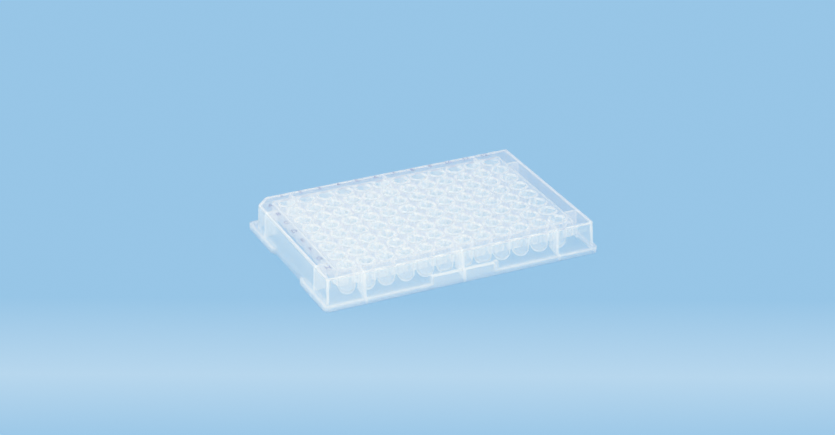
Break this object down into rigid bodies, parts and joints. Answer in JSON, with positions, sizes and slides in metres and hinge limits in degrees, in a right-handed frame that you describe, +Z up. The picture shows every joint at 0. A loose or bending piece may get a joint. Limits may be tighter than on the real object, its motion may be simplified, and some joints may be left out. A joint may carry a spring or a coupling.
{
  "type": "well plate",
  "caption": "Clear moulded plate with a grid of round-bottomed wells, a stepped foot that locates it in readers and handlers, and one cut corner that marks the first well.",
  "frame": {"origin": "centre of the plate's outline, on the plane that the foot rests on", "axes": "+X along the rows of wells from column 1 to column 12, +Y from row H to row A, +Z up towards the well mouths"},
  "size_m": [0.1278, 0.0854, 0.0145],
  "materials": {
    "clear_polystyrene": "gloss"
  },
  "bodies": {
    "root": {"well_plate": "clear_polystyrene"}
  },
  "joints": []
}
